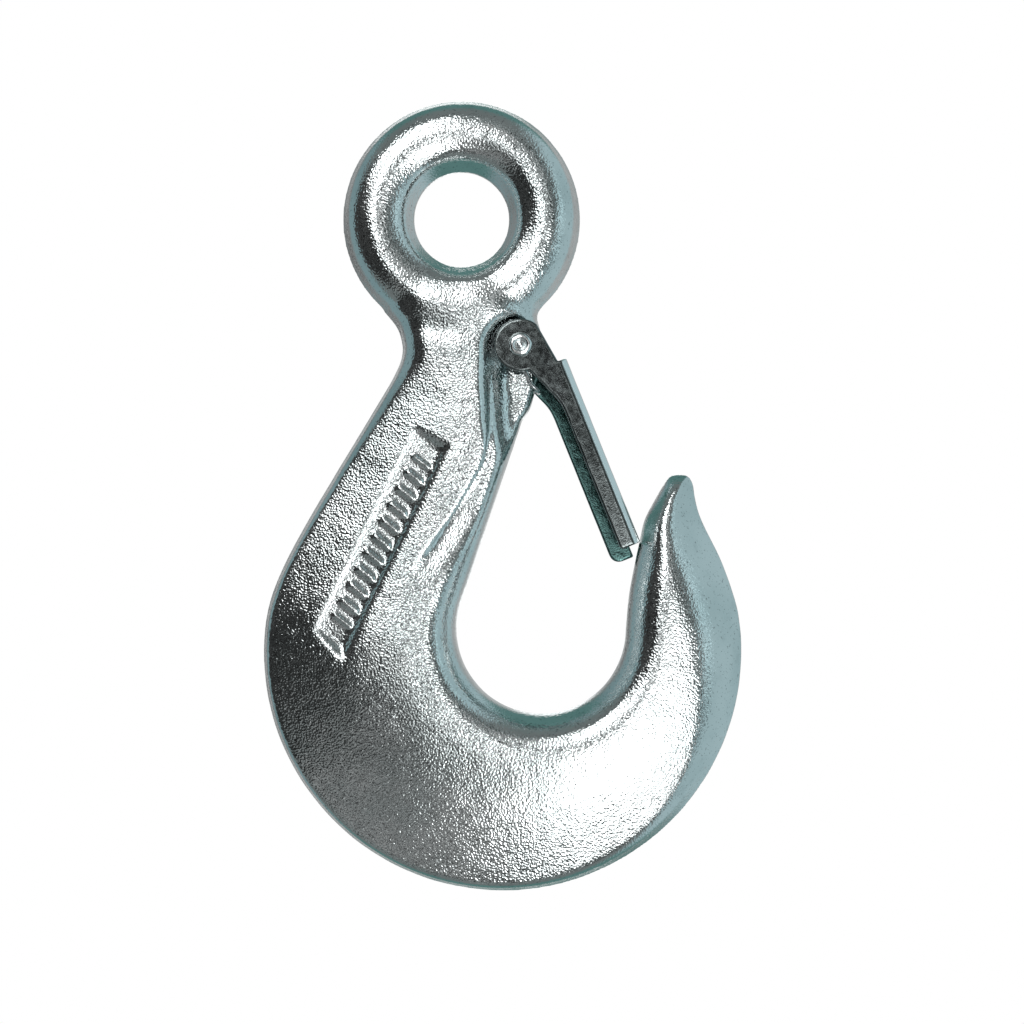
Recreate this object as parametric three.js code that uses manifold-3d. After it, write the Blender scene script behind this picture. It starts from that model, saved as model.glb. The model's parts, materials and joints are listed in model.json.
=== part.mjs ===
// Eye hook with a sprung safety latch: a drop-forged lifting hook that hangs from its eye.
// Millimetres, +Z up. The hook lies in the XZ plane, with its throat towards +X and its marked face
// towards -Y. The origin is the centre of the eye.
import * as THREE from "three";
import { mergeVertices } from "three/addons/utils/BufferGeometryUtils.js";
import Module from "manifold-3d";

const wasm = await Module();
wasm.setup();

// ---- Driving dimensions ----
const EYE_OUTER_R = 26;
const EYE_HOLE_R = 10.5;
const EYE_HALF = 8.2; // half thickness of the eye's ring at its crown

const BOWL = new THREE.Vector2(17.5, -90); // centre of the load seat
const BOWL_R = 18.7;
const BACK = new THREE.Vector2(9, -95); // centre of the outside of the bowl
const BACK_R = 52.4;
const WAIST = new THREE.Vector2(-15.1, -35.2); // where the neck's fillet meets the back

const PIVOT = new THREE.Vector2(12.9, -28.1);
const LUG_HALF = 3; // the lug is the thin web that the latch's ears straddle
const LUG_HOLE_R = 2.15;
const POCKET_R = 8.9; // recess for the latch's ears, at its mouth on both faces
const POCKET_TAPER = 0.86; // its walls lean in by this much for each millimetre of depth
const RELIEF_HALF = 6.1; // half thickness beside the flanges of the open latch

const SHEET = 1.2; // the latch is pressed from sheet of this thickness
const LATCH_HALF = 8; // half of its width across the ears
const LATCH_LENGTH = 49.3; // from the pivot to its free end
const LATCH_BEND_R = 1.95;
const LATCH_TILT = THREE.MathUtils.degToRad(-22); // from hanging straight down, when closed
const WEB_OUT = 8.2; // from the pivot out to the latch's outer face
const FLANGE_IN = 3.5; // from the pivot out to the front flange's free edge
const REAR_DEEPER = 2.2; // the rear flange's free edge lies this much further in than the front's
const REAR_LONGER = 3; // and it ends in a tongue this much longer
const EAR_R = 5.7;

const RIVET_R = 2;
const WIRE_R = 0.45;
const COIL_R = 2.75; // to the middle of the wire
const COIL_TURNS = 2.5;
const COIL_PITCH = 0.95;

const PANEL = { x: -17.2, z: -70.5, length: 49.2, width: 8.6, floor: 7.25, ribs: 11 }; // marking panel

// ---- Materials ----
const zinc = new THREE.MeshStandardMaterial({ color: 0xb9c3c6, roughness: 0.3, metalness: 1 });
const pressed = new THREE.MeshStandardMaterial({ color: 0x8d9496, roughness: 0.35, metalness: 1 });
const bright = new THREE.MeshStandardMaterial({ color: 0xd6dadb, roughness: 0.22, metalness: 1 });
const wire = new THREE.MeshStandardMaterial({ color: 0xa6abad, roughness: 0.3, metalness: 1 });

// ---- Helpers ----
const { lerp, smoothstep, degToRad } = THREE.MathUtils;
const v2 = (x, z) => new THREE.Vector2(x, z);

// A closed geometry as a manifold-3d solid, and back.
function solid(geometry) {
  const bare = geometry.clone();
  bare.deleteAttribute("normal");
  bare.deleteAttribute("uv");
  const g = mergeVertices(bare, 1e-4);
  return new wasm.Manifold(
    new wasm.Mesh({
      numProp: 3,
      vertProperties: new Float32Array(g.attributes.position.array),
      triVerts: new Uint32Array(g.index.array),
    }),
  );
}

function geometryOf(manifold) {
  const mesh = manifold.getMesh();
  const g = new THREE.BufferGeometry();
  g.setAttribute("position", new THREE.BufferAttribute(mesh.vertProperties, 3));
  g.setIndex(new THREE.BufferAttribute(mesh.triVerts, 1));
  return g;
}

// A shape drawn in the XZ plane, extruded along Y from one depth to another.
function slab(shape, fromY, toY, curveSegments = 12) {
  const g = new THREE.ExtrudeGeometry(shape, { depth: toY - fromY, bevelEnabled: false, curveSegments });
  return g.rotateX(Math.PI / 2).translate(0, toY, 0);
}

// A profile of [radius, y] points turned about the Y axis.
function turned(profile, segments) {
  return new THREE.LatheGeometry(profile.map(([r, y]) => v2(r, y)), segments);
}

// A cylinder along Y through both faces of the hook.
function drill(centre, radius, halfLength, segments = 40) {
  return new THREE.CylinderGeometry(radius, radius, 2 * halfLength, segments).translate(centre.x, 0, centre.y);
}

// A closed skin over rings of equal length: neighbouring rings are joined, and a fan closes each end.
function loft(rings) {
  const n = rings[0].length;
  const points = rings.flat();
  const faces = [];
  for (let i = 0; i + 1 < rings.length; i++) {
    for (let k = 0; k < n; k++) {
      const a = i * n + k;
      const b = i * n + ((k + 1) % n);
      faces.push(a, b, a + n, b, b + n, a + n);
    }
  }
  [rings[0], rings.at(-1)].forEach((ring, end) => {
    const middle = ring.reduce((sum, p) => sum.add(p), new THREE.Vector3()).divideScalar(n);
    const first = end === 0 ? 0 : (rings.length - 1) * n;
    points.push(middle);
    for (let k = 0; k < n; k++) {
      const edge = [first + k, first + ((k + 1) % n)];
      if (end === 0) edge.reverse();
      faces.push(...edge, points.length - 1);
    }
  });
  const g = new THREE.BufferGeometry().setFromPoints(points);
  g.setIndex(faces);
  return g;
}

// ---- Hook body ----

// Half of a forged section, from the inner parting line (distance 0) to the outer one (distance width):
// a round nose of that length, a crown that falls to the rim, a rounded edge and a drafted flank.
function halfSection({ width, crown, rim, nose, edge, flank }) {
  const NOSE_STEPS = 5;
  const CROWN_STEPS = 3;
  const EDGE_STEPS = 3;
  const points = [];
  for (let i = 0; i <= NOSE_STEPS; i++) {
    const a = (i / NOSE_STEPS) * (Math.PI / 2);
    points.push([nose * (1 - Math.cos(a)), crown * Math.sin(a)]);
  }
  const flatEnd = width - edge - flank;
  for (let i = 1; i <= CROWN_STEPS; i++) {
    const f = i / CROWN_STEPS;
    points.push([lerp(nose, flatEnd, f), lerp(crown, rim, f ** 1.3)]);
  }
  for (let i = 1; i <= EDGE_STEPS; i++) {
    const a = (i / EDGE_STEPS) * (Math.PI / 2);
    points.push([flatEnd + edge * Math.sin(a), rim - edge * 0.9 * (1 - Math.cos(a))]);
  }
  points.push([width, 0]);
  return points;
}

// The section's sizes along the arm, from the eye to the tip. nose, edge and flank are shares of the width.
const ARM_KEYS = [
  { at: 0, crown: 6.9, rim: 5.2, nose: 0.28, edge: 0.24, flank: 0.06 },
  { at: 0.05, crown: 8.1, rim: 6.2, nose: 0.28, edge: 0.22, flank: 0.06 },
  { at: 0.11, crown: 8.5, rim: 6.4, nose: 0.25, edge: 0.16, flank: 0.05 },
  { at: 0.2, crown: 8.8, rim: 6.1, nose: 0.24, edge: 0.08, flank: 0.045 },
  { at: 0.42, crown: 9.6, rim: 5.2, nose: 0.22, edge: 0.03, flank: 0.03 },
  { at: 0.66, crown: 10, rim: 4.9, nose: 0.24, edge: 0.03, flank: 0.035 },
  { at: 0.75, crown: 9.6, rim: 5.8, nose: 0.26, edge: 0.06, flank: 0.1 },
  { at: 0.82, crown: 9.2, rim: 7, nose: 0.28, edge: 0.1, flank: 0.26 },
  { at: 0.91, crown: 8, rim: 6.6, nose: 0.33, edge: 0.12, flank: 0.45 },
  { at: 0.98, crown: 5.2, rim: 4.6, nose: 0.34, edge: 0.2, flank: 0.35 },
  { at: 1, crown: 3.2, rim: 2.8, nose: 0.36, edge: 0.25, flank: 0.3 },
];

function armSizes(at) {
  const next = Math.max(1, ARM_KEYS.findIndex((key) => key.at >= at));
  const [a, b] = [ARM_KEYS[next - 1], ARM_KEYS[next]];
  const f = smoothstep(at, a.at, b.at);
  const size = (name) => lerp(a[name], b[name], f);
  const [crown, rim, nose, edge, flank] = ["crown", "rim", "nose", "edge", "flank"].map(size);
  return { crown, rim, nose, edge, flank };
}

// The arm's two edges in the parting plane, as legs that are stepped along together.
function armLegs() {
  const arc = (centre, radius, from, to) =>
    new THREE.EllipseCurve(centre.x, centre.y, radius, radius, degToRad(from), degToRad(to));
  const BOWL_START = 161.3; // where the shank's straight inner edge meets the load seat
  const seat = arc(BOWL, BOWL_R, BOWL_START, 360);
  const neck = { inner: v2(15.6, -20.6), outer: v2(-15.5, -20.4) }; // just inside the eye's rim
  const lugFoot = v2(13.2, -44.4);
  const leftmost = v2(BACK.x - BACK_R, BACK.y);
  const back = new THREE.CubicBezierCurve(WAIST, v2(-38.2, -73.8), v2(leftmost.x, -80), leftmost);
  const rim = arc(BACK, BACK_R, 180, 370);
  const rimEnd = rim.getPoint(1);
  return [
    {
      // inside the eye's ring, so that the arm grows out of it
      steps: 3,
      inner: new THREE.LineCurve(v2(9, -14.5), neck.inner),
      outer: new THREE.LineCurve(v2(-9, -14.5), neck.outer),
    },
    {
      steps: 9,
      inner: new THREE.SplineCurve([
        neck.inner,
        v2(17.3, -24.3),
        v2(17.9, -29),
        v2(17.2, -34),
        v2(15.8, -38.6),
        v2(14.9, -41.8),
        lugFoot,
      ]),
      outer: new THREE.SplineCurve([
        neck.outer,
        v2(-14.6, -22.2),
        v2(-13.7, -24.4),
        v2(-13, -27.2),
        v2(-12.9, -29.2),
        v2(-13.5, -31.8),
        WAIST,
      ]),
    },
    { steps: 9, inner: new THREE.LineCurve(lugFoot, seat.getPoint(0)), outer: back, outerTo: 0.6 },
    { steps: 6, inner: seat, innerTo: 0.16, outer: back, outerFrom: 0.6 },
    { steps: 24, inner: seat, innerFrom: 0.16, outer: rim },
    {
      steps: 12,
      inner: new THREE.SplineCurve([
        seat.getPoint(1),
        v2(37.1, -81.2),
        v2(39.3, -70.3),
        v2(40.4, -65.9),
        v2(42.4, -61.9),
        v2(44.6, -58.2),
        v2(46.7, -56.2),
      ]),
      outer: new THREE.SplineCurve([
        rimEnd,
        v2(56.9, -74.8),
        v2(52.6, -66),
        v2(51.2, -61.2),
        v2(50.7, -58.2),
        v2(48.8, -56.1),
      ]),
    },
  ];
}

function armSolid() {
  const pairs = [];
  for (const leg of armLegs()) {
    const { innerFrom = 0, innerTo = 1, outerFrom = 0, outerTo = 1 } = leg;
    for (let i = pairs.length ? 1 : 0; i <= leg.steps; i++) {
      const f = i / leg.steps;
      pairs.push([
        leg.inner.getPoint(lerp(innerFrom, innerTo, f)),
        leg.outer.getPoint(lerp(outerFrom, outerTo, f)),
      ]);
    }
  }
  const rings = pairs.map(([inner, outer], i) => {
    const width = inner.distanceTo(outer);
    const sizes = armSizes(i / (pairs.length - 1));
    const [nose, edge, flank] = [sizes.nose, sizes.edge, sizes.flank].map((share) => share * width);
    const half = halfSection({ ...sizes, width, nose, edge, flank });
    const at = ([along, y]) => {
      const p = inner.clone().lerp(outer, along / width);
      return new THREE.Vector3(p.x, y, p.y);
    };
    const front = half.map(([along, y]) => at([along, -y]));
    const back = half.slice(1, -1).reverse().map(at);
    return [...front, ...back];
  });
  return solid(loft(rings));
}

// The eye's ring: a rounded section turned about the hole's axis.
function eyeSolid() {
  const width = EYE_OUTER_R - EYE_HOLE_R;
  const [nose, edge, flank] = [0.45, 0.28, 0.055].map((share) => share * width);
  const half = halfSection({ width, crown: EYE_HALF, rim: 5.6, nose, edge, flank });
  const front = half.map(([along, y]) => [EYE_HOLE_R + along, -y]);
  const back = half.slice(1, -1).reverse().map(([along, y]) => [EYE_HOLE_R + along, y]);
  return solid(turned([...front, ...back, front[0]], 56));
}

// A cutter for one face: the ring of points at each depth is given by a function of that depth. It runs
// from the floor of the cut to well clear of the face.
function faceCutter(side, floor, ringAt) {
  const CLEAR = 16;
  const rings = [floor, CLEAR].map((depth) => ringAt(depth).map((p) => new THREE.Vector3(p.x, side * depth, p.y)));
  return solid(loft(side < 0 ? rings : rings.reverse()));
}

// The recess beside the lug: a round seat for the ear and a run-out below it, with leaning walls.
function pocketCutter(side) {
  const MOUTH = 9; // the half thickness at which the outline below is drawn
  const ringAt = (depth) => {
    const lean = POCKET_TAPER * (MOUTH - depth);
    const arc = new THREE.EllipseCurve(0, -0.6, POCKET_R - lean, POCKET_R - lean, degToRad(60), degToRad(182));
    const top = v2(14, POCKET_R - 1.3 - lean);
    const left = [v2(-9 + lean, -8), v2(-8.4 + lean, -16), v2(-7 + lean, -25), v2(-4.4 + lean, -31)];
    return [top, ...arc.getPoints(20), ...left, v2(14, -31)].map((p) => p.add(PIVOT));
  };
  return faceCutter(side, LUG_HALF, ringAt);
}

// The shallow cut along the shank's inner side, where the open latch's flange comes to lie.
function reliefCutter(side) {
  const RIDGE = 9; // half thickness at the ridge where the cut begins
  const ringAt = (depth) => {
    const lean = 1.03 * (RIDGE - depth);
    const ridge = [v2(5.2, -34), v2(5, -46), v2(3.4, -53), v2(-3.7, -65.3), v2(-7.5, -72)];
    return [...ridge.map((p) => v2(p.x + lean, p.y)), v2(12, -76), v2(20, -60), v2(20, -34)];
  };
  return faceCutter(side, RELIEF_HALF, ringAt);
}

// The sunk marking panel on the front of the shank, with a plain row of ribs in place of lettering.
function panelTools() {
  const TILT = degToRad(26.5);
  const SKEW = 1;
  const WALL = 0.5; // how far the walls lean out for each millimetre of height
  const RIB = { length: 5, width: 1.44, height: 0.55 };
  const turn = (p) => p.rotateAround(v2(0, 0), -TILT).add(v2(PANEL.x, PANEL.z));
  const ringAt = (depth) => {
    const w = PANEL.width / 2 + WALL * (depth - PANEL.floor - 1);
    const l = PANEL.length / 2 + WALL * (depth - PANEL.floor - 1);
    return [v2(w, l - SKEW), v2(-w, l + SKEW), v2(-w, -l + SKEW), v2(w, -l - SKEW)].map(turn);
  };
  const group = new THREE.Group();
  group.position.set(PANEL.x, 0, PANEL.z);
  group.rotation.y = TILT;
  group.updateMatrixWorld(true);
  const ribs = [];
  for (let i = 0; i < PANEL.ribs; i++) {
    const z = lerp(-19.5, 19.5, i / (PANEL.ribs - 1));
    const rib = new THREE.BoxGeometry(RIB.length, 2 * RIB.height, RIB.width).translate(1, -PANEL.floor, z);
    ribs.push(solid(rib.applyMatrix4(group.matrixWorld)));
  }
  return { cutter: faceCutter(-1, PANEL.floor, ringAt), ribs };
}

function hookBody() {
  const panel = panelTools();
  let body = armSolid().add(eyeSolid()).subtract(panel.cutter);
  for (const rib of panel.ribs) body = body.add(rib);
  for (const side of [-1, 1]) body = body.subtract(pocketCutter(side)).subtract(reliefCutter(side));
  body = body.subtract(solid(drill(PIVOT, LUG_HOLE_R, 2 * LUG_HALF)));
  const mesh = new THREE.Mesh(geometryOf(body), zinc);
  mesh.name = "hook_body";
  return mesh;
}

// ---- Latch: a pressed channel with two ears, drawn hanging straight down from the pivot ----
function latch() {
  // Seen from the side: an ear round the pivot, then a narrow flange down to the free end, where the
  // corner is cut to a given size.
  const flange = (edge, end, corner) => {
    const side = new THREE.Shape();
    side.absarc(0, 0, EAR_R, degToRad(30), degToRad(256), false);
    side.lineTo(edge - 3.8, -5.8);
    side.lineTo(edge - 0.9, -12.8);
    side.quadraticCurveTo(edge, -14.8, edge, -17);
    side.lineTo(edge, corner - end);
    side.quadraticCurveTo(edge, -end, edge + corner, -end);
    side.lineTo(WEB_OUT - LATCH_BEND_R, -end);
    side.lineTo(WEB_OUT - LATCH_BEND_R, -LATCH_LENGTH);
    side.lineTo(WEB_OUT + 1, -LATCH_LENGTH);
    side.lineTo(WEB_OUT + 1, -6.3);
    side.lineTo(WEB_OUT - LATCH_BEND_R, -6.3);
    side.closePath();
    return side;
  };
  const front = slab(flange(FLANGE_IN, LATCH_LENGTH, 0.8), -LATCH_HALF - 1, 1, 20);
  const rearEdge = FLANGE_IN - REAR_DEEPER;
  const rear = slab(flange(rearEdge, LATCH_LENGTH + REAR_LONGER, 2.4), 0, LATCH_HALF + 1, 20);

  // Seen from the end: a channel whose web is on the outside of the hook.
  const channel = (grow, radius) => {
    const out = WEB_OUT - grow;
    const half = LATCH_HALF - grow;
    const shape = new THREE.Shape();
    shape.moveTo(-12, -half);
    shape.lineTo(out - radius, -half);
    shape.absarc(out - radius, -half + radius, radius, -Math.PI / 2, 0, false);
    shape.lineTo(out, half - radius);
    shape.absarc(out - radius, half - radius, radius, 0, Math.PI / 2, false);
    shape.lineTo(-12, half);
    shape.closePath();
    return new THREE.ExtrudeGeometry(shape, { depth: 80, bevelEnabled: false, curveSegments: 5 });
  };
  const outside = solid(channel(0, LATCH_BEND_R).translate(0, 0, -65));
  const inside = solid(channel(SHEET, LATCH_BEND_R - SHEET).translate(0, 0, -65));
  const pressing = outside
    .subtract(inside)
    .intersect(solid(front).add(solid(rear)))
    .subtract(solid(drill(v2(0, 0), RIVET_R + 0.15, LATCH_HALF + 1)));
  const mesh = new THREE.Mesh(geometryOf(pressing), pressed);
  mesh.name = "latch";
  return mesh;
}

// ---- Rivet: a domed head at the back, and a hollow end rolled over the front ear ----
function rivet() {
  const face = LATCH_HALF + 0.2;
  const CUP_R = 1.55;
  const ROLL_R = 2.5;
  const profile = [
    [0, face + 1.7],
    [1.6, face + 1.55],
    [2.9, face + 1.05],
    [3.8, face + 0.3],
    [3.9, face],
    [RIVET_R, face],
    [RIVET_R, -face],
    [ROLL_R, -face],
    [ROLL_R + 0.1, -face - 0.35],
    [ROLL_R - 0.2, -face - 0.75],
    [ROLL_R - 0.5, -face - 0.8],
    [CUP_R, -face - 0.5],
    [CUP_R - 0.2, -face + 1.2],
    [0, -face + 1.6],
  ];
  const mesh = new THREE.Mesh(turned(profile.reverse(), 32), bright);
  mesh.name = "latch_rivet";
  return mesh;
}

// ---- Spring: two coils on the rivet, one each side of the lug. A bridge joins them across the lug's
// nose, and a free leg of each lies along the inside of the latch's web ----
function springPath() {
  const innerY = LUG_HALF + WIRE_R + 0.3;
  const outerY = innerY + COIL_TURNS * COIL_PITCH;
  const webLine = WEB_OUT - SHEET - WIRE_R - 0.3;
  const onLatch = (out, along) => v2(out, -along).rotateAround(v2(0, 0), -LATCH_TILT);
  const toTangent = (p) => Math.acos(COIL_R / p.length());
  const point = (p, y) => new THREE.Vector3(p.x, y, p.y);

  const arm = v2(1, -5.3);
  const legStart = onLatch(webLine, 11);
  const from = arm.angle() - 2 * Math.PI - toTangent(arm);
  const to = legStart.angle() - 2 * Math.PI + toTangent(legStart);
  const turn = to - from - 6 * Math.PI;

  const half = [
    point(v2(4.2, -9.9), 0),
    point(v2(4.2, -9.9), 2),
    point(v2(3.7, -9.5), 3.3),
    point(v2(2.3, -8.3), innerY),
    point(arm, innerY),
  ];
  const STEPS = 40;
  for (let i = 0; i <= STEPS; i++) {
    const f = i / STEPS;
    const a = from + f * turn;
    half.push(new THREE.Vector3(COIL_R * Math.cos(a), lerp(innerY, outerY, f), COIL_R * Math.sin(a)));
  }
  for (const along of [11, 14, 17]) half.push(point(onLatch(webLine, along), outerY));
  const other = half.slice(1).map((p) => new THREE.Vector3(p.x, -p.y, p.z));
  return new THREE.CatmullRomCurve3([...other.reverse(), ...half], false, "centripetal");
}

function spring() {
  const section = new THREE.Shape().absarc(0, 0, WIRE_R, 0, 2 * Math.PI, false);
  const geometry = new THREE.ExtrudeGeometry(section, {
    extrudePath: springPath(),
    steps: 130,
    curveSegments: 4,
    bevelEnabled: false,
  });
  const mesh = new THREE.Mesh(geometry, wire);
  mesh.name = "latch_spring";
  return mesh;
}

// ---- Assembly ----
const hook = new THREE.Group();
hook.add(hookBody());

const pivot = new THREE.Group();
pivot.position.set(PIVOT.x, 0, PIVOT.y);
hook.add(pivot);

const swing = new THREE.Group();
swing.rotation.y = LATCH_TILT;
swing.add(latch(), rivet());
pivot.add(swing, spring());

export default hook;
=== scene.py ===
"""Eye hook with latch: the finished look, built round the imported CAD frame.

Shapes are worked out in millimetres in the frame's own axes (X towards the throat, Y into the
picture, Z up, the eye's centre at the origin) and become Blender meshes in metres.
"""
import json
import math

import bmesh
import bpy
import numpy as np
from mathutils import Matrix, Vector


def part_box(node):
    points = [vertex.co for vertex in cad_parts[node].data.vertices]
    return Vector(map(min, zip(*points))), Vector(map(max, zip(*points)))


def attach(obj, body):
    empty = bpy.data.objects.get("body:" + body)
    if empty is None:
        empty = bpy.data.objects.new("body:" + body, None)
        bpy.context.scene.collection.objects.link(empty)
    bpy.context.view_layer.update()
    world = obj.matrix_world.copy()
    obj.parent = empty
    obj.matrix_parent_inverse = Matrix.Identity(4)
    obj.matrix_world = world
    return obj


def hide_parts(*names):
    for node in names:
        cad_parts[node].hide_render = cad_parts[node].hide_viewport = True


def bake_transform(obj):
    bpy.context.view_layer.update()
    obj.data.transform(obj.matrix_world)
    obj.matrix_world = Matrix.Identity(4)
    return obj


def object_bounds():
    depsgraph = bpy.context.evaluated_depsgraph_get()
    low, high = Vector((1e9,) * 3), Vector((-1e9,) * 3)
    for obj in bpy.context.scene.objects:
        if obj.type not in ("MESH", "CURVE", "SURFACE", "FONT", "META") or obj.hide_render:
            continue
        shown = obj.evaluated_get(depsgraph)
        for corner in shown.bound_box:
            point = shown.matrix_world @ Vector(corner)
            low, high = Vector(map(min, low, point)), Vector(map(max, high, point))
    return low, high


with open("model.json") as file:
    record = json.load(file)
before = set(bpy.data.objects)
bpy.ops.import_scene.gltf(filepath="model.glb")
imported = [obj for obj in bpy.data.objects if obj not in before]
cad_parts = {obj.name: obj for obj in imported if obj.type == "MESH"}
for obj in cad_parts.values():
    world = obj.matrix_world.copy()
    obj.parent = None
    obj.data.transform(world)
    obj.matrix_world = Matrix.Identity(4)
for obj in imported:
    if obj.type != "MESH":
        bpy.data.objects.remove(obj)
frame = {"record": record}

MM = 0.001
CAD_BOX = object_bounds()
JOINT = frame["record"]["behaviour"]["joints"][0]
PIVOT = np.array([JOINT["pos_m"][0], JOINT["pos_m"][2]]) / MM
SEED = 7
CHUNK = 8000  # points measured at a time, to save memory


# ---------------------------------------------------------------- curves in the XZ plane

def segment(a, b, n):
    t = np.linspace(0, 1, n + 1)[:, None]
    return np.array(a) * (1 - t) + np.array(b) * t


def arc(centre, radius, start, end, n):
    a = np.radians(np.linspace(start, end, n + 1))
    return np.array(centre) + radius * np.stack([np.cos(a), np.sin(a)], 1)


def bezier(p0, p1, p2, p3, n, upto=(0, 1)):
    t = np.linspace(*upto, n + 1)[:, None]
    p0, p1, p2, p3 = map(np.array, (p0, p1, p2, p3))
    return (1 - t) ** 3 * p0 + 3 * (1 - t) ** 2 * t * p1 + 3 * (1 - t) * t * t * p2 + t**3 * p3


def spline(points, n):
    """A Catmull-Rom curve through the points, of any dimension, sampled n times in all."""
    p = np.array(points, float)
    p = np.vstack([2 * p[0] - p[1], p, 2 * p[-1] - p[-2]])
    at = np.linspace(0, len(points) - 1, n + 1)
    i = np.minimum(at.astype(int), len(points) - 2)
    t = (at - i)[:, None]
    a, b, c, d = (p[i + k] for k in range(4))
    return b + 0.5 * t * (c - a + t * (2 * a - 5 * b + 4 * c - d + t * (3 * (b - c) + d - a)))


def signed_distance(points, line):
    """Distance from each point to a line, positive on the left of its direction of travel."""
    seg = np.diff(line, axis=0)
    keep = np.hypot(*seg.T) > 1e-6
    line = np.vstack([line[:-1][keep], line[-1]])
    seg = np.diff(line, axis=0)
    left = np.stack([-seg[:, 1], seg[:, 0]], 1)
    left /= np.hypot(*left.T)[:, None]
    at_ends = np.vstack([left[0], left[:-1] + left[1:], left[-1]])
    if np.hypot(*(line[0] - line[-1])) < 1e-3:
        at_ends[0] = at_ends[-1] = left[0] + left[-1]
    out = np.empty(len(points))
    for k in range(0, len(points), CHUNK):
        p = points[k : k + CHUNK, None, :] - line[None, :-1]
        t = np.clip((p * seg).sum(2) / (seg * seg).sum(1), 0, 1)
        gap = p - t[..., None] * seg
        d2 = (gap * gap).sum(2)
        j = d2.argmin(1)
        rows = np.arange(len(j))
        tj = t[rows, j][:, None]
        normal = at_ends[j] * (tj <= 0) + at_ends[j + 1] * (tj >= 1) + left[j] * ((tj > 0) & (tj < 1))
        side = np.sign((gap[rows, j] * normal).sum(1))
        out[k : k + CHUNK] = side * np.sqrt(d2[rows, j])
    return out


# ---------------------------------------------------------------- solids as distance fields

def smooth_max(a, b, k):
    h = np.maximum(k - np.abs(a - b), 0) / k
    return np.maximum(a, b) + h * h * k / 4


def smooth_min(a, b, k):
    return -smooth_max(-a, -b, k)


def ramp(x, lo, hi):
    t = np.clip((x - lo) / (hi - lo), 0, 1)
    return t * t * (3 - 2 * t)


class Grid:
    """A regular grid of points that covers a box, in millimetres."""

    def __init__(self, low, high, step):
        self.step = step
        self.axes = [np.arange(a - 3 * step, b + 4 * step, step) for a, b in zip(low, high)]
        self.origin = np.array([a[0] for a in self.axes])
        x, z = np.meshgrid(self.axes[0], self.axes[2], indexing="ij")
        self.plane = np.stack([x.ravel(), z.ravel()], 1)
        self.y = self.axes[1][None, :, None]
        self.x = self.axes[0][:, None, None]
        self.z = self.axes[2][None, None, :]

    def flat(self, values):
        """Values on the XZ plane, ready to be spread over Y."""
        return values.reshape(len(self.axes[0]), 1, len(self.axes[2]))

    def noise(self, size, seed):
        """Smooth random waves of about that size, between -1 and 1."""
        rng = np.random.default_rng(seed)
        weights = []
        for axis in self.axes:
            at = (axis - axis[0]) / size
            count = int(at[-1]) + 5
            cell = at.astype(int)
            t = at - cell
            w = np.zeros((len(axis), count))
            rows = np.arange(len(axis))
            w[rows, cell] = (1 - t) ** 3 / 6
            w[rows, cell + 1] = (3 * t**3 - 6 * t**2 + 4) / 6
            w[rows, cell + 2] = (-3 * t**3 + 3 * t**2 + 3 * t + 1) / 6
            w[rows, cell + 3] = t**3 / 6
            weights.append(w)
        values = rng.uniform(-1, 1, [w.shape[1] for w in weights])
        values = np.einsum("ia,abc->ibc", weights[0], values)
        values = np.einsum("jb,ibc->ijc", weights[1], values)
        return np.einsum("kc,ijc->ijk", weights[2], values) * 1.8


CORNERS = np.array([(i, j, k) for i in (0, 1) for j in (0, 1) for k in (0, 1)])
EDGES = [(a, b) for a in range(8) for b in range(a + 1, 8) if np.abs(CORNERS[a] - CORNERS[b]).sum() == 1]


def surface(grid, field):
    """The surface where the field is zero, as points and quads (dual contouring on a regular grid)."""
    inside = field < 0
    count = sum(inside[i : i - 1 or None, j : j - 1 or None, k : k - 1 or None].astype(np.int8)
                for i, j, k in CORNERS)
    cells = np.argwhere((count > 0) & (count < 8))
    number = np.full(count.shape, -1, np.int32)
    number[tuple(cells.T)] = np.arange(len(cells))
    corner = np.stack([field[tuple((cells + c).T)] for c in CORNERS], 1)
    total = np.zeros((len(cells), 3))
    hits = np.zeros(len(cells))
    for a, b in EDGES:
        fa, fb = corner[:, a], corner[:, b]
        cut = (fa < 0) != (fb < 0)
        t = np.where(cut, fa / np.where(cut, fa - fb, 1), 0)[:, None]
        total += np.where(cut[:, None], CORNERS[a] * (1 - t) + CORNERS[b] * t, 0)
        hits += cut
    points = grid.origin + grid.step * (cells + total / hits[:, None])
    quads = []
    for axis in range(3):
        u, v = (axis + 1) % 3, (axis + 2) % 3
        one = np.take(inside, range(1, inside.shape[axis]), axis)
        two = np.take(inside, range(inside.shape[axis] - 1), axis)
        at = np.argwhere(one != two)
        outward = two[tuple(at.T)]
        du, dv = np.eye(3, dtype=int)[u], np.eye(3, dtype=int)[v]
        ring = np.stack([number[tuple((at - s).T)] for s in (du + dv, dv, 0 * du, du)], 1)
        ring[~outward] = ring[~outward][:, ::-1]
        quads.append(ring)
    return points, np.vstack(quads)


def make_mesh(name, points, faces, material):
    mesh = bpy.data.meshes.new(name)
    mesh.from_pydata([tuple(p) for p in np.asarray(points) * MM], [], [tuple(f) for f in faces])
    mesh.validate()
    mesh.polygons.foreach_set("use_smooth", np.ones(len(mesh.polygons), bool))
    mesh.materials.append(material)
    obj = bpy.data.objects.new(name, mesh)
    bpy.context.collection.objects.link(obj)
    return obj


# ---------------------------------------------------------------- the forging

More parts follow.
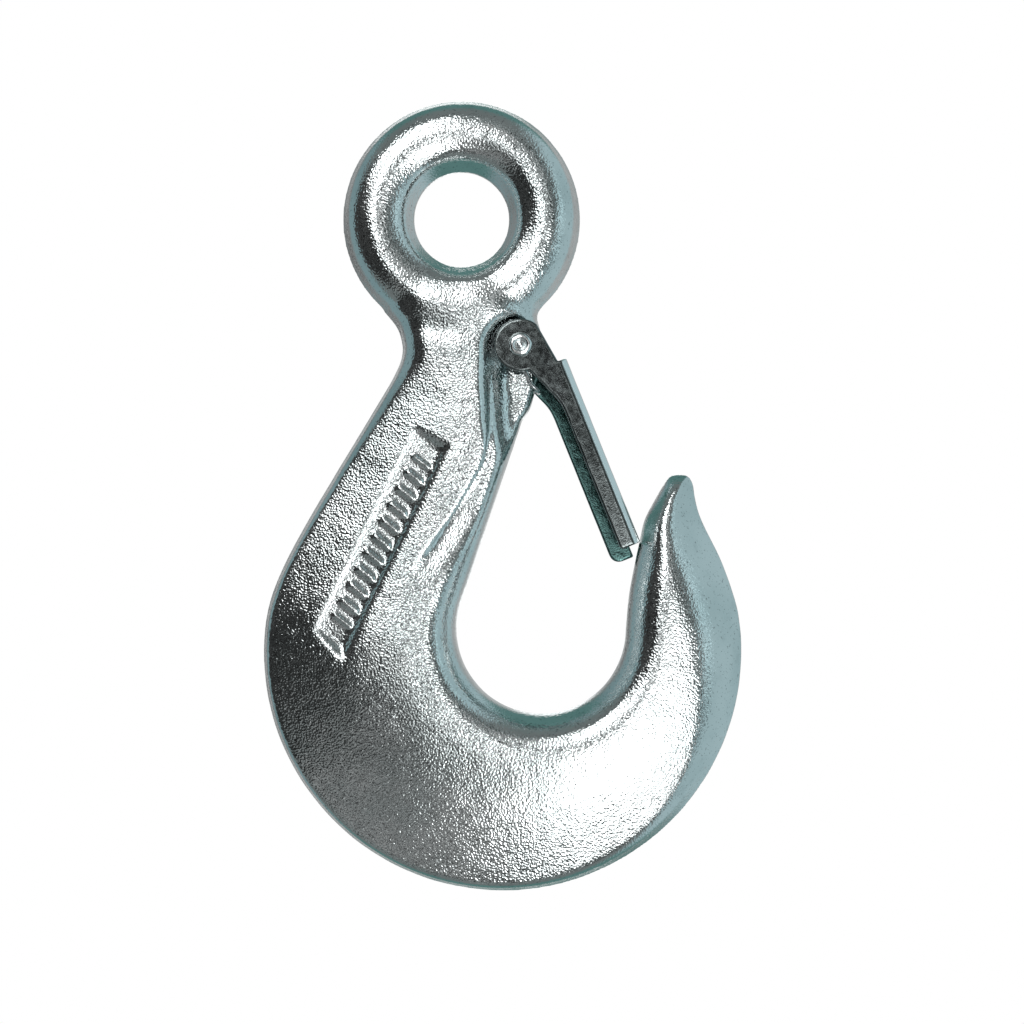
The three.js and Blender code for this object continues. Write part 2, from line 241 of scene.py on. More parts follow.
EYE_OUTER_R = 26
EYE_HOLE_R = 10.5
EYE_CROWN_R = 18.5
EYE_CROWN = 8.2  # half thickness of the ring, at its crown
EYE_SPAN_OUT = 8.1  # half width of the ring's oval section, outside the crown and inside it
EYE_SPAN_IN = 9.6
EYE_SPAN = 8  # turns the ring's oval measure into millimetres
EYE_DRAFT = 0.3
EYE_FLARE = 0.36
FLARE_COSINE = 0.94
ARM_TOP = -14.5  # where the arm ends inside the ring
LEG_BLEND = 40  # how softly one leg's section passes into the next
CROWN_SHARE = 0.26
FLASH_HALF = 0.5  # half width of the flat band along the parting line
FLASH_HEIGHT = 0.08
FLASH_WIDTH = 0.8
LUG_HALF = 3  # half thickness of the web that the latch's ears straddle
LUG_HOLE_R = 2.15
RELIEF_HALF = 6.1  # half thickness beside the flanges of the open latch
RELIEF_RISE = 3.4  # how much shallower the relief is at its lower end
RELIEF_RUN = (62, 84)  # how far below the eye's centre it starts to rise, and where it ends
RELIEF_DRAFT = 0.9
POCKET_TOP = 9
POCKET_DRAFT = 0.86
PANEL_FRONT = 4  # the panel's cut stays at least this far in front of the parting plane
PANEL_MIDDLE = -0.85  # across the panel, from the middle of its row of ribs
PANEL_HALF_WIDTH = 3.45
PANEL_HALF_LENGTH = 24.0
PANEL_SHALLOW_SIDE = 4.3
PANEL_SKEW = 0.2
PANEL_EDGE = 0.22  # the panel's floor: its depth at the shallow side, its slope there, its levelling
PANEL_SLOPE = 0.2
PANEL_LEVEL = 0.0075
PANEL_WALL = 1.4
RIB_START = 21.5
RIB_MIDDLE = 0.2
RIB_PITCH = 3.9
RIB_HALF_WIDTH = 0.72
RIB_HALF_LENGTH = 2.3
RIB_ROW_HALF = 19.6
RIB_HEIGHT = 0.6

# The widths over which two surfaces of the forging blend into one another.
NECK_BLEND = 3.0
HOLE_BLEND = 0.8
NOSE_BLEND = 1.5
ARM_TOP_BLEND = 2.0
CUT_BLEND = 2.2
RELIEF_BLEND = 1.1
POCKET_BLEND = 1.0

SKIN = [(0.03, 2.6), (0.018, 1.5), (0.04, 9.0)]  # heights and sizes of the forged skin's waves
POCKET_SKIN = (0.10, 1.7)

# Section sizes along the arm, by leg: half thickness at the crown and at the rim, length of the round
# nose on the inside, width of the drafted flank on the outside, and rounding where face meets flank.
ARM_KEYS = [
    # leg, crown, rim, nose, flank, round
    (0.0, 6.5, 6.2, 8.0, 1.6, 4.4),
    (0.5, 7.4, 6.8, 8.0, 1.6, 4.4),
    (1.0, 8.5, 7.7, 8.0, 1.6, 4.4),
    (1.3, 9.1, 8.0, 8.0, 1.6, 4.4),
    (1.7, 9.2, 7.5, 8.0, 1.5, 4.2),
    (2.0, 9.2, 6.8, 7.5, 1.4, 3.2),
    (2.5, 9.1, 5.8, 7.0, 1.3, 1.4),
    (3.0, 9.3, 5.5, 7.0, 1.3, 0.9),
    (4.0, 9.8, 5.0, 7.5, 1.3, 0.7),
    (4.6, 10.0, 4.9, 8.5, 1.6, 1.0),
    (4.8, 9.6, 5.6, 8.0, 3.2, 2.2),
    (5.0, 9.2, 7.4, 8.6, 6.6, 4.6),
    (5.5, 8.5, 7.4, 8.8, 6.0, 6.6),
    (5.9, 5.7, 5.0, 5.2, 3.2, 4.6),
    (6.0, 3.6, 3.3, 2.8, 2.4, 2.6),
]


def arm_edges():
    """The arm's inner and outer edges in the parting plane, leg by leg from the eye to the tip."""
    seat_centre, seat_r, seat_start = (17.5, -90), 18.7, 161.3
    back_centre, back_r = (9, -95), 52.4
    neck_inner, neck_outer = (15.6, -20.6), (-15.5, -20.4)
    waist = (-15.1, -35.2)
    lug_foot = (13.2, -44.4)
    tip = (47.7, -55.7)
    back = (waist, (-38.2, -73.8), (back_centre[0] - back_r, -80), (back_centre[0] - back_r, -95))
    split = seat_start + 0.16 * (360 - seat_start)
    seat = arc(seat_centre, seat_r, seat_start, split, 20)
    rest = arc(seat_centre, seat_r, split, 360, 90)
    rim = arc(back_centre, back_r, 180, 362, 90)
    return [
        (segment((9, ARM_TOP), neck_inner, 8), segment((-9, ARM_TOP), neck_outer, 8)),
        (
            spline([neck_inner, (17.3, -24.3), (17.9, -29), (17.2, -34), (15.8, -38.6), (14.9, -41.8),
                    lug_foot], 40),
            spline([neck_outer, (-14.6, -22.2), (-13.7, -24.4), (-13, -27.2), (-12.9, -29.2),
                    (-13.5, -31.8), waist], 40),
        ),
        (segment(lug_foot, seat[0], 50), bezier(*back, 50, (0, 0.6))),
        (seat, bezier(*back, 20, (0.6, 1))),
        (rest, rim),
        (
            spline([rest[-1], (37.1, -81.2), (39.3, -70.3), (40.4, -65.9), (42.4, -61.9), (44.6, -58.2),
                    (46.0, -56.3), tip], 60),
            spline([rim[-1], (61.1, -89.4), (60.0, -83.6), (56.9, -74.8), (52.6, -66), (51.2, -61.2),
                    (50.7, -58.2), (49.5, -56.2), tip], 60),
        ),
    ]


def pocket_outline():
    """The mouth of the deep recess round the pivot, open towards the throat."""
    return np.vstack([
        [PIVOT + (14, 7.6)],
        arc(PIVOT + (0, -0.6), 8.9, 60, 182, 40),
        segment(PIVOT + (-9.0, -8), PIVOT + (-8.4, -16), 8),
        [PIVOT + (-7.0, -25), PIVOT + (-4.4, -31), PIVOT + (14, -31), PIVOT + (14, 7.6)],
    ])


def relief_outline(top):
    """The shallow cut beside the open latch, from its ridge on the shank to the middle of the throat."""
    return np.array([[5.2, top], [5.0, -46], [3.4, -53], [-10.9, -77.7], [-9, -84], [4, -90],
                     [24, -90], [24, top], [5.2, top]])


def panel_place(plane):
    """Each point's place along the marking panel and across it."""
    centre, tilt = np.array([-17.2, -70.5]), math.radians(26.5)
    along = np.array([math.sin(tilt), math.cos(tilt)])
    across = np.array([math.cos(tilt), -math.sin(tilt)])
    return (plane - centre) @ along, (plane - centre) @ across


def section_size(leg, column):
    """One size of the arm's section, eased from key to key."""
    keys = np.array(ARM_KEYS)
    # A bell 0.14 of a leg wide runs over keys that are spread out a hundred to the leg.
    fine = np.linspace(-1, 7, 801)
    bell = np.exp(-((np.arange(-40, 41) / 14) ** 2))
    eased = np.convolve(np.interp(fine, keys[:, 0], keys[:, column]), bell / bell.sum(), "same")
    return np.interp(leg, fine, eased)


def leg_number(plane, inner, outer, at):
    """Which leg each point belongs to: a mean over the nearby points midway between the two edges."""
    middle = (inner + outer) / 2
    leg = np.empty(len(plane))
    for k in range(0, len(plane), CHUNK):
        gap = plane[k : k + CHUNK, None, :] - middle[None]
        far = (gap * gap).sum(2)
        near = np.exp((far.min(1)[:, None] - far) / LEG_BLEND)
        leg[k : k + CHUNK] = (near * at).sum(1) / near.sum(1)
    return leg


def arm_field(grid):
    """The arm, and the half thickness of its face."""
    legs = arm_edges()
    inner = np.vstack([leg[0] for leg in legs])
    outer = np.vstack([leg[1] for leg in legs])
    at = np.concatenate([i + np.linspace(0, 1, len(leg[0])) for i, leg in enumerate(legs)])
    plane, flat = grid.plane, grid.flat
    to_inner = -signed_distance(plane, np.vstack([inner, inner[-1] + (4, 0)]))
    to_outer = signed_distance(plane, np.vstack([outer, outer[-1] - (4, 0)]))
    leg = leg_number(plane, inner, outer, at)
    crown, rim, nose, flank, rounding = (section_size(leg, column) for column in range(1, 6))

    # The face falls from the crown, a quarter of the way across, to the rim.
    share = np.clip(to_inner / np.maximum(to_inner + to_outer, 1e-3), 0, 1)
    fall = np.clip((share - CROWN_SHARE) / (1 - CROWN_SHARE), 0, 1) ** 1.3
    face = crown * (1 - fall) + rim * fall

    y = np.abs(grid.y)
    draft = flat(flank / rim)
    side = (np.maximum(y - FLASH_HALF, 0) * draft - flat(to_outer)) / np.sqrt(1 + draft**2)
    q = np.maximum(1 - to_inner / nose, 0)
    front = (np.sqrt(flat(q) ** 2 + (y / flat(crown)) ** 2) - 1) * flat(np.minimum(nose, crown))
    arm = smooth_max(y - flat(face), side, flat(rounding))
    arm = smooth_max(arm, front, NOSE_BLEND)
    return smooth_max(arm, flat(plane[:, 1] - ARM_TOP), ARM_TOP_BLEND), face


def eye_fields(grid):
    """The eye's ring, of rounded section with a drafted flank outside, and its flared hole."""
    eye_r = grid.flat(np.hypot(*grid.plane.T))
    y = np.abs(grid.y)
    beyond = eye_r - EYE_CROWN_R
    across = np.where(beyond > 0, beyond / EYE_SPAN_OUT, beyond / EYE_SPAN_IN)
    ring = (np.sqrt(across**2 + (y / EYE_CROWN) ** 2) - 1) * EYE_SPAN
    ring = smooth_max(ring, eye_r - EYE_OUTER_R + EYE_DRAFT * y, 0.7)
    hole = (EYE_HOLE_R + EYE_FLARE * np.maximum(y - 0.7, 0) - eye_r) * FLARE_COSINE
    return ring, hole


def cut_lug(grid, body):
    """Cut the relief along the shank's inner side, and the deep pocket round the pivot."""
    plane, flat = grid.plane, grid.flat
    y = np.abs(grid.y)
    lug_top = PIVOT[1] - 6
    relief = flat(signed_distance(plane, relief_outline(lug_top)))
    depth = RELIEF_HALF + RELIEF_RISE * ramp(-flat(plane[:, 1]), *RELIEF_RUN)
    cut = smooth_max(depth - y, -relief + (y - depth) * RELIEF_DRAFT, CUT_BLEND)
    cut = np.maximum(cut, flat(plane[:, 1] - lug_top))
    body = smooth_max(body, -cut, RELIEF_BLEND)
    pocket = flat(signed_distance(plane, pocket_outline()))
    mouth = pocket - np.maximum(POCKET_TOP - y, 0) * POCKET_DRAFT
    body = smooth_max(body, -smooth_max(LUG_HALF - y, -mouth, CUT_BLEND), POCKET_BLEND)
    body = np.maximum(body, LUG_HOLE_R - flat(np.hypot(*(plane - PIVOT).T)))
    return body, pocket


def cut_panel(grid, body, face):
    """Sink the marking panel, on the front only, and raise a plain row of ribs in it."""
    flat = grid.flat
    along, across = panel_place(grid.plane)
    skewed = along + PANEL_SKEW * across
    behind = grid.y + PANEL_FRONT
    ahead = np.clip(across + PANEL_SHALLOW_SIDE, -2, 9)
    depth = PANEL_EDGE + PANEL_SLOPE * ahead - PANEL_LEVEL * ahead**2
    floor = -grid.y - flat(face - depth)
    edge = flat(np.abs(across - PANEL_MIDDLE) - PANEL_HALF_WIDTH)
    edge = smooth_max(edge, flat(np.abs(skewed) - PANEL_HALF_LENGTH), 1.0)
    sunk = smooth_max(-floor, (edge - PANEL_WALL * floor) / 1.6, 0.4)
    body = smooth_max(body, -np.maximum(sunk, behind), 0.4)
    rib = np.abs((skewed + RIB_START) % RIB_PITCH - RIB_PITCH / 2) - RIB_HALF_WIDTH
    rib = np.maximum(rib, np.abs(across - RIB_MIDDLE) - RIB_HALF_LENGTH)
    rib = np.maximum(rib, np.abs(skewed) - RIB_ROW_HALF)
    rib = np.maximum(smooth_max(flat(rib), floor - RIB_HEIGHT, 0.35), behind)
    return smooth_min(body, rib, 0.3)


def forged_skin(grid, pocket):
    """How far the skin stands out of the true shape: the trimmed flash, scale, and a rough pocket."""
    skin = sum(height * grid.noise(size, SEED + i) for i, (height, size) in enumerate(SKIN))
    height, size = POCKET_SKIN
    skin = skin + height * grid.noise(size, SEED + len(SKIN)) * ramp(pocket, 1.0, 4.0)
    return FLASH_HEIGHT * np.exp(-((grid.y / FLASH_WIDTH) ** 2)) - skin


def hook_field(grid):
    arm, face = arm_field(grid)
    ring, hole = eye_fields(grid)
    body = smooth_max(smooth_min(arm, ring, NECK_BLEND), hole, HOLE_BLEND)
    body, pocket = cut_lug(grid, body)
    body = cut_panel(grid, body, face)
    return body - forged_skin(grid, pocket)


def make_hook(material):
    low, high = (np.array(c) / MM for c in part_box("hook_body"))
    grid = Grid(low, high, 0.5)
    points, quads = surface(grid, hook_field(grid))
    hook = make_mesh("hook_forging", points, quads, material)
    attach(hook, "hook")
    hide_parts("hook_body")
    return hook


# ---------------------------------------------------------------- the latch

SHEET = 1.2
LATCH_HALF = 8
LATCH_LENGTH = 49.3
LATCH_TILT = math.radians(22)
WEB_OUT = 8.2
BEND_R = 2.0
EAR_R = 5.7
EAR_HOLE_R = 2.1
FRONT_EDGE = 3.5  # how far out from the pivot each flange's free edge lies
REAR_EDGE = 1.3
TONGUE = 3  # how far the rear flange runs on past the web


def on_latch(out, along):
    """A place on the latch, from its pivot: out towards its web, and along it to its free end."""
    c, s = math.cos(LATCH_TILT), math.sin(LATCH_TILT)
    return PIVOT + np.stack([out * c + along * s, out * s - along * c], -1)


def flange_outline(edge, end, corner):
    """A flange and its ear, as (out, along) points round the piece, clockwise as seen from the front."""
    ear = [(EAR_R * math.cos(a), -EAR_R * math.sin(a)) for a in np.radians(np.linspace(30, 256, 50))]
    kink = bezier((edge - 0.9, 12.8), (edge - 0.3, 14.2), (edge, 15.6), (edge, 17.5), 8)
    toe = bezier((edge, end - corner), (edge, end - 0.4 * corner), (edge + 0.4 * corner, end),
                 (edge + corner, end), 8)
    tail = [(WEB_OUT - BEND_R, end), (WEB_OUT - BEND_R, LATCH_LENGTH), (WEB_OUT + 1, LATCH_LENGTH),
            (WEB_OUT + 1, 6.3), (WEB_OUT - BEND_R, 6.3)]
    return np.vstack([ear, [(edge - 3.8, 5.8)], kink, toe, tail, [ear[0]]])


def latch_field(grid):
    c, s = math.cos(LATCH_TILT), math.sin(LATCH_TILT)
    rel = grid.plane - PIVOT
    place = np.stack([rel[:, 0] * c + rel[:, 1] * s, rel[:, 0] * s - rel[:, 1] * c], 1)
    flat = grid.flat
    out = flat(place[:, 0])
    y = grid.y

    # The channel: a sheet bent round two corners.
    middle = SHEET / 2
    r = BEND_R - middle
    qx = out - (WEB_OUT - middle - r)
    qy = np.abs(y) - (LATCH_HALF - middle - r)
    corner = np.hypot(np.maximum(qx, 0), np.maximum(qy, 0)) + np.minimum(np.maximum(qx, qy), 0) - r
    sheet = np.abs(corner) - middle

    # Its flanges and ears: the rear one is deeper, and ends in a tongue.
    front = flat(signed_distance(place, flange_outline(FRONT_EDGE, LATCH_LENGTH, 0.8)))
    rear = flat(signed_distance(place, flange_outline(REAR_EDGE, LATCH_LENGTH + TONGUE, 2.4)))
    mix = ramp(y, -1.0, 1.0)
    body = smooth_max(sheet, front * (1 - mix) + rear * mix, 0.35)
    body = smooth_max(body, EAR_HOLE_R - flat(np.hypot(*place.T)), 0.2)
    dents = 0.022 * grid.noise(3.0, SEED + 11) + 0.012 * grid.noise(1.1, SEED + 12)
    return body + dents


def make_latch(material):
    low, high = (np.array(c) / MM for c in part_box("latch"))
    grid = Grid(low, high, 0.27)
    points, quads = surface(grid, latch_field(grid))
    latch = make_mesh("latch_channel", points, quads, material)
    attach(latch, "latch")
    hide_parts("latch")
    return latch


# ---------------------------------------------------------------- the rivet

def make_rivet(material):
    face = LATCH_HALF + 0.12
    # The profile, as radius and y: domed head behind, shank, rolled end and cup in front.
    head = [(0, face + 1.75), (1.0, face + 1.68), (2.0, face + 1.42), (2.9, face + 0.98),
            (3.55, face + 0.45), (3.75, face + 0.12), (3.7, face), (2.0, face)]
    roll = arc((1.8, -face - 0.3), 0.72, 60, -200, 22)
    cup = [(1.2, -face + 0.3), (1.0, -face + 0.9), (0.6, -face + 1.25), (0, -face + 1.35)]
    profile = np.vstack([head, [(2.0, -face)], roll, cup])
    turns = 72
    points = []
    for k in range(turns):
        a = 2 * math.pi * k / turns
        for r, y in profile:
            rolled = y < -face and r > 1.4
            wave = 1 + (0.022 * math.sin(5 * a + 1) + 0.012 * math.sin(11 * a)) * rolled
            points.append((PIVOT[0] + r * wave * math.cos(a), y, PIVOT[1] + r * wave * math.sin(a)))
    n = len(profile)
    quads = []
    for k in range(turns):
        for i in range(n - 1):
            a, b = k * n + i, ((k + 1) % turns) * n + i
            quads.append((a, a + 1, b + 1, b))
    rivet = make_mesh("rivet", points, quads, material)
    weld(rivet)
    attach(rivet, "latch")
    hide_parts("latch_rivet")
    return rivet


def weld(obj):
    """Join the points that meet on the axis, and turn every face outwards."""
    bm = bmesh.new()
    bm.from_mesh(obj.data)
    bmesh.ops.remove_doubles(bm, verts=bm.verts, dist=1e-6)
    bmesh.ops.recalc_face_normals(bm, faces=bm.faces)
    bm.to_mesh(obj.data)
    bm.free()


# ---------------------------------------------------------------- the spring

WIRE_R = 0.45
COIL_R = 2.75
COIL_TURNS = 2.5
COIL_PITCH = 0.95


def spring_half():
    """Half of the spring's route, from the middle of its bridge to a free leg's end."""
    inner_y = LUG_HALF + WIRE_R + 0.3
    outer_y = inner_y + COIL_TURNS * COIL_PITCH
    web = WEB_OUT - SHEET - WIRE_R - 0.3
    arm = np.array([1, -5.3])
    leg = on_latch(web, 11) - PIVOT

    def bearing(p):
        return math.atan2(p[1], p[0])

    def to_tangent(p):
        return math.acos(COIL_R / math.hypot(*p))

    start = bearing(arm) - to_tangent(arm)
    end = bearing(leg) + to_tangent(leg) - 6 * math.pi
    route = [(4.2, 0, -9.9), (4.2, 1.2, -9.9), (4.1, 2.3, -9.85), (3.7, 3.3, -9.5), (2.9, 3.7, -8.9),
             (2.0, inner_y, -7.7), (1, inner_y, -5.3)]
    for f in np.linspace(0, 1, 101):
        a = start + f * (end - start)
        y = inner_y + f * (outer_y - inner_y)
        route.append((COIL_R * math.cos(a), y, COIL_R * math.sin(a)))
    for along in (11, 14, 17):
        p = on_latch(web, along) - PIVOT
        route.append((p[0], outer_y, p[1]))
    return np.array(route) + (PIVOT[0], 0, PIVOT[1]), inner_y, outer_y


def tube(route, radius, sides, steps):
    """A round wire along a smooth route, closed at both ends."""
    path = spline(route, steps)
    gap = np.r_[0, np.cumsum(np.linalg.norm(np.diff(path, axis=0), axis=1))]
    even = np.linspace(0, gap[-1], steps + 1)
    path = np.stack([np.interp(even, gap, path[:, i]) for i in range(3)], 1)
    ahead = np.gradient(path, axis=0)
    ahead /= np.linalg.norm(ahead, axis=1)[:, None]
    up = np.cross(ahead[0], (0, 0, 1.0))
    points = []
    for i, (p, t) in enumerate(zip(path, ahead)):
        up = up - t * (up @ t)
        up /= np.linalg.norm(up)
        side = np.cross(t, up)
        shrink = 0.8 if i in (0, steps) else 1
        for k in range(sides):
            a = 2 * math.pi * k / sides
            points.append(p + radius * shrink * (math.cos(a) * up + math.sin(a) * side))
    faces = [tuple(range(sides))[::-1], tuple(range(steps * sides, (steps + 1) * sides))]
    for i in range(steps):
        for k in range(sides):
            a, b = i * sides + k, i * sides + (k + 1) % sides
            faces.append((a, b, b + sides, a + sides))
    return points, faces


def make_spring(material):
    """Each half is a piece of its own, so that its coil can wind up from the lug outwards."""
    half, inner_y, outer_y = spring_half()
    for name, flip in (("spring_rear", 1), ("spring_front", -1)):
        points, faces = tube(half * (1, flip, 1), WIRE_R, 12, 260)
        piece = make_mesh(name, points, faces, material)
        weld(piece)
        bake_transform(piece)
        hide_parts("latch_spring")


# ---------------------------------------------------------------- materials

BAND_FADE = 0.0004


class Nodes:
    """Small helpers for building one node tree."""

    def __init__(self, tree):
        self.tree = tree
        tree.nodes.clear()

    def add(self, kind, **settings):
        node = self.tree.nodes.new(kind)
        inputs = settings.pop("inputs", {})
        for key, value in settings.items():
            setattr(node, key, value)
        for key, value in inputs.items():
            if hasattr(value, "is_output"):
                self.tree.links.new(value, node.inputs[key])
            else:
                node.inputs[key].default_value = value
        return node

    def math(self, operation, *values):
        return self.add("ShaderNodeMath", operation=operation, inputs=dict(enumerate(values))).outputs[0]

    def range(self, value, lo, hi, to_lo=0.0, to_hi=1.0):
        return self.add("ShaderNodeMapRange", interpolation_type="SMOOTHSTEP",
                        inputs={0: value, 1: lo, 2: hi, 3: to_lo, 4: to_hi}).outputs[0]

    def mix(self, factor, a, b):
        node = self.add("ShaderNodeMix", data_type="RGBA", inputs={0: factor})
        for index, value in ((6, a), (7, b)):
            if hasattr(value, "is_output"):
                self.tree.links.new(value, node.inputs[index])
            else:
                node.inputs[index].default_value = (*value, 1)
        return node.outputs[2]

    def noise(self, coordinates, size_mm, detail=2.0, roughness=0.5):
        return self.add("ShaderNodeTexNoise", inputs={
            "Vector": coordinates, "Scale": 1 / (size_mm * MM), "Detail": detail,
            "Roughness": roughness}).outputs["Fac"]


def metal(name, light, deep, roughness, grain, ripple, bands=()):
    """Plated steel: a cloudy tint with dark specks painted into it as reflections, an uneven polish, a
    fine grain that sparkles, and a gentle ripple.

    Grain and ripple are each a size and a height, in millimetres. A band is a direction, how far along
    it another tint starts and ends, in metres, and that tint.
    """
    material = bpy.data.materials.new(name)
    material.use_nodes = True
    n = Nodes(material.node_tree)
    where = n.add("ShaderNodeTexCoord").outputs["Object"]
    clouds = n.noise(where, 14, 3)
    stain = n.noise(where, 3.5, 4, 0.6)
    painted_reflection_specks = n.noise(where, grain[0] * 1.2, 1)
    tint = n.mix(n.range(clouds, 0.35, 0.68), light, deep)
    tint = n.mix(n.range(stain, 0.56, 0.8, 0, 0.4), tint, tuple(0.7 * c for c in deep))
    # Painted reflection: dark specks in the tint stand in for the plating's dark sparkling glints.
    tint = n.mix(n.range(painted_reflection_specks, 0.62, 0.74, 0, 0.6), tint, tuple(0.35 * c for c in deep))
    for direction, start, end, colour in bands:
        reach = n.add("ShaderNodeVectorMath", operation="DOT_PRODUCT",
                      inputs={0: where, 1: direction}).outputs["Value"]
        within = n.math("MULTIPLY", n.range(reach, start, start + BAND_FADE),
                        n.range(reach, end - BAND_FADE, end, 1, 0))
        tint = n.mix(within, tint, colour)
    polish = n.range(n.noise(where, 1.3, 3), 0.3, 0.75, *roughness)
    bump = n.add("ShaderNodeBump", inputs={
        "Strength": 1.0, "Distance": grain[1] * MM, "Height": n.noise(where, grain[0], 0.5)})
    bump = n.add("ShaderNodeBump", inputs={
        "Strength": 1.0, "Distance": ripple[1] * MM, "Height": n.noise(where, ripple[0], 2),
        "Normal": bump.outputs[0]})
    shader = n.add("ShaderNodeBsdfPrincipled", inputs={
        "Base Color": tint, "Metallic": 1.0, "Roughness": polish, "Normal": bump.outputs[0]})
    out = n.add("ShaderNodeOutputMaterial")
    n.tree.links.new(shader.outputs[0], out.inputs["Surface"])
    return material


# ---------------------------------------------------------------- stage

CAMERA_DISTANCE = 0.47
CAMERA_LENS = 75.1
CAMERA_ASIDE = 0.0021
CAMERA_DROP = 0.0036
FLOOR_DROP = 153  # how far the hook hangs above the floor
FLOOR_R = 420


def make_camera():
    low, high = (np.array(c) for c in CAD_BOX)
    centre = (low + high) / 2
    camera = bpy.data.objects.new("camera", bpy.data.cameras.new("camera"))
    bpy.context.collection.objects.link(camera)
    camera.location = (centre[0] + CAMERA_ASIDE, centre[1] - CAMERA_DISTANCE, centre[2] - CAMERA_DROP)
    camera.rotation_euler = (math.pi / 2, 0, 0)
    camera.data.lens = CAMERA_LENS
    bpy.context.scene.camera = camera


def make_floor():
    low, _ = CAD_BOX
    z = low[2] / MM - FLOOR_DROP
    ring = arc((9, 0), FLOOR_R, 0, 360, 96)[:-1]
    material = bpy.data.materials.new("floor")
    material.use_nodes = True
    n = Nodes(material.node_tree)
    where = n.add("ShaderNodeTexCoord").outputs["Object"]
    tone = n.mix(n.noise(where, 60, 2), (0.86, 0.87, 0.87), (0.9, 0.9, 0.9))
    shader = n.add("ShaderNodeBsdfPrincipled", inputs={"Base Color": tone, "Roughness": 0.7})
    out = n.add("ShaderNodeOutputMaterial")
    n.tree.links.new(shader.outputs[0], out.inputs["Surface"])
    floor = make_mesh("floor", [(x, y, z) for x, y in ring], [tuple(range(len(ring)))], material)
    floor.visible_glossy = False


def towards(tilt, bearing):
    """A direction at that tilt from straight out of the front face, at a bearing from the right."""
    t, b = math.radians(tilt), math.radians(bearing)
    return math.sin(t) * math.cos(b), -math.cos(t), math.sin(t) * math.sin(b)


# The studio, one layer over another. First its wide tints, then its soft boxes and dark flags: tilt and
# bearing of the middle, half width, soft edge, and colour or brightness.
BEHIND = (0.11, 0.22, 0.21)
TINTS = [
    (0, 0, 70, 40, (0.17, 0.19, 0.19)),
    (95, 0, 48, 18, (0.40, 0.53, 0.56)),
    (110, 180, 38, 16, (0.22, 0.32, 0.34)),
    (3, 0, 12, 3, (0.95, 0.97, 0.97)),
]
PATCHES = [
    (48, 178, 27, 4, 0.05),
    (26, 184, 8, 3, 0.03),
    (29, -112, 14, 3, 0.22),
    (16, -136, 6, 3, 0.12),
    (27, 88, 13, 3, 0.55),
    (26, 124, 13, 2, 2.6),
    (42, 110, 10, 2, 2.0),
    (41, 138, 8, 2, 2.2),
    (14, 136, 5, 2, 1.6),
    (11, -40, 5, 2, 2.2),
    (23, -70, 10, 2, 3.0),
    (26, -50, 9, 2, 2.8),
    (42, -46, 7, 2, 1.3),
    (5, 60, 4, 2, 0.06),
    (160, 0, 20, 14, 0.42),
    (160, 180, 20, 14, 0.25),
    (158, 185, 8, 6, 0.10),
    (180, 0, 20, 8, 0.55),
    (164, 100, 8, 3, 1.5),
    (166, -60, 8, 3, 1.4),
]


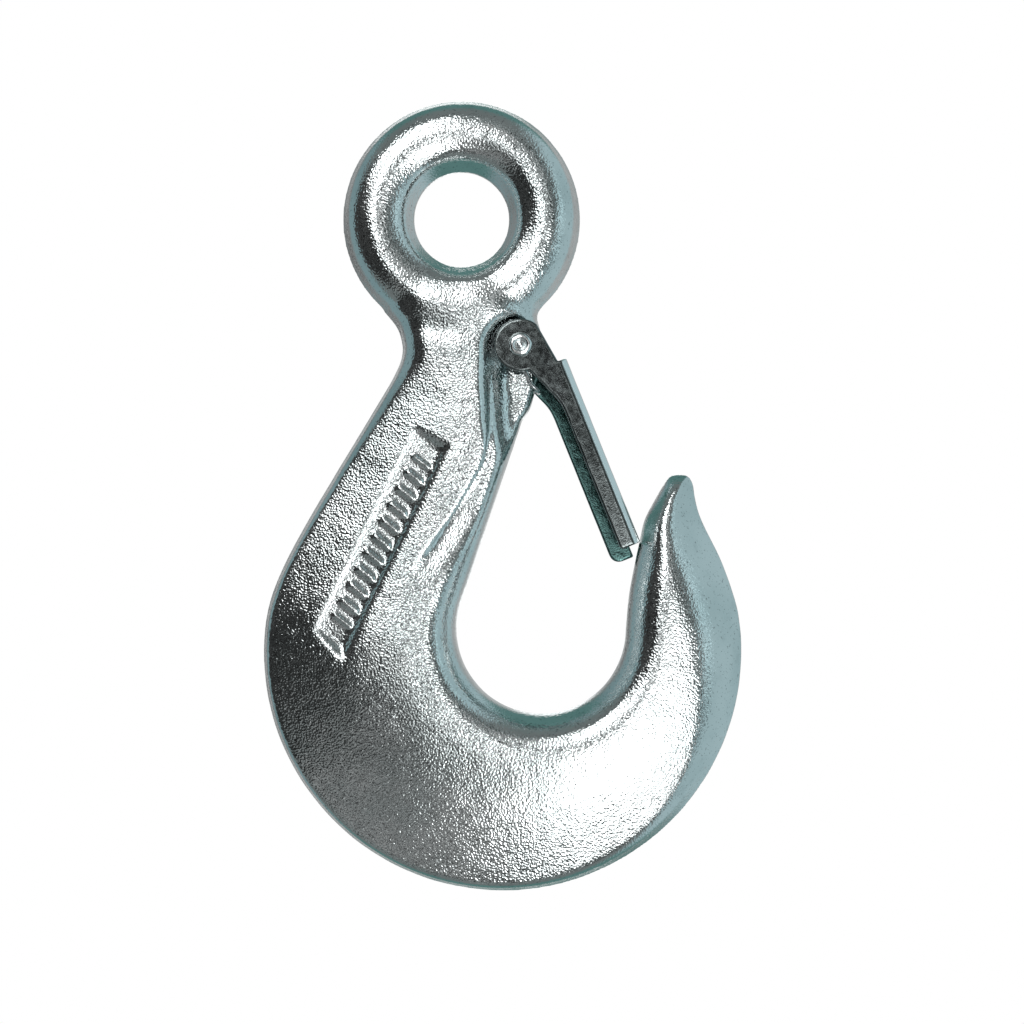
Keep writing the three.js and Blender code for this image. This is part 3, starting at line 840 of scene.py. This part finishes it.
def make_world():
    """A pale studio with soft boxes above and below the camera, and its dark side on the left.

    The camera sees plain white, and the metal reflects the layers.
    """
    world = bpy.data.worlds.new("studio")
    bpy.context.scene.world = world
    world.use_nodes = True
    n = Nodes(world.node_tree)
    direction = n.add("ShaderNodeTexCoord").outputs["Generated"]

    def lobe(tilt, bearing, half, soft):
        dot = n.add("ShaderNodeVectorMath", operation="DOT_PRODUCT",
                    inputs={0: direction, 1: towards(tilt, bearing)}).outputs["Value"]
        angle = n.math("ARCCOSINE", n.math("MULTIPLY", dot, 0.9999))
        return n.range(angle, math.radians(half), math.radians(half + soft), 1, 0)

    shade = BEHIND
    for tilt, bearing, half, soft, tint in TINTS:
        shade = n.mix(lobe(tilt, bearing, half, soft), shade, tint)
    for tilt, bearing, half, soft, glow in PATCHES:
        shade = n.mix(lobe(tilt, bearing, half, soft), shade, (0.98 * glow, glow, glow))
    # What stands in front is broken into uneven bright and dark cells.
    cells = n.add("ShaderNodeTexNoise", inputs={"Vector": direction, "Scale": 9.0, "Detail": 0.0})
    broken = n.range(cells.outputs["Fac"], 0.42, 0.58, 0.3, 1.7)
    ahead = lobe(0, 0, 52, 12)
    level = n.math("ADD", n.math("MULTIPLY", ahead, n.math("SUBTRACT", broken, 1.0)), 1.0)
    shade = n.add("ShaderNodeVectorMath", operation="SCALE", inputs={0: shade, "Scale": level}).outputs[0]
    lit = n.add("ShaderNodeBackground", inputs={"Color": shade, "Strength": 1.0})
    seen = n.add("ShaderNodeBackground", inputs={"Color": (1, 1, 1, 1), "Strength": 1.0})
    ray = n.add("ShaderNodeLightPath").outputs["Is Camera Ray"]
    both = n.add("ShaderNodeMixShader", inputs={0: ray, 1: lit.outputs[0], 2: seen.outputs[0]})
    out = n.add("ShaderNodeOutputWorld")
    n.tree.links.new(both.outputs[0], out.inputs["Surface"])


def make_light():
    light = bpy.data.lights.new("key", "AREA")
    light.energy = 6
    light.size = 0.5
    lamp = bpy.data.objects.new("key", light)
    bpy.context.collection.objects.link(lamp)
    lamp.location = (-0.35, -0.5, 0.55)
    lamp.rotation_euler = Vector((0.35, 0.5, -0.62)).to_track_quat("-Z", "Y").to_euler()
    lamp.visible_glossy = False


bpy.context.scene.view_settings.view_transform = "Standard"
make_camera()
make_world()
make_light()
make_floor()

# The latch's plating is rubbed bright on the outside of its web, and inside its rear flange a dark teal
# tint is painted shade, where the front flange shades it.
outwards = on_latch(1, 0) - PIVOT
bends = (float(PIVOT @ outwards) + WEB_OUT - 1.5) * MM
# Painted shade: a dark teal tint on the inner face of the rear flange.
rear_flange_painted_shade = ((0, 1, 0), 0.005, 0.0074, (0.11, 0.21, 0.20))
web = ((float(outwards[0]), 0, float(outwards[1])), bends, 1, (0.9, 0.92, 0.92))

zinc = metal("zinc_plate", light=(0.78, 0.81, 0.81), deep=(0.66, 0.71, 0.71), roughness=(0.04, 0.08),
             grain=(0.42, 0.07), ripple=(0.9, 0.015))
pressed = metal("latch_zinc", light=(0.27, 0.30, 0.30), deep=(0.15, 0.17, 0.17), roughness=(0.1, 0.2),
                grain=(0.33, 0.014), ripple=(1.4, 0.015), bands=[rear_flange_painted_shade, web])
bright = metal("rivet_zinc", light=(0.88, 0.90, 0.90), deep=(0.78, 0.81, 0.82), roughness=(0.06, 0.14),
               grain=(0.5, 0.008), ripple=(2, 0.01))
drawn = metal("spring_steel", light=(0.74, 0.77, 0.78), deep=(0.62, 0.66, 0.67), roughness=(0.14, 0.24),
              grain=(0.5, 0.01), ripple=(2, 0.005))
make_hook(zinc)
make_latch(pressed)
make_rivet(bright)
make_spring(drawn)
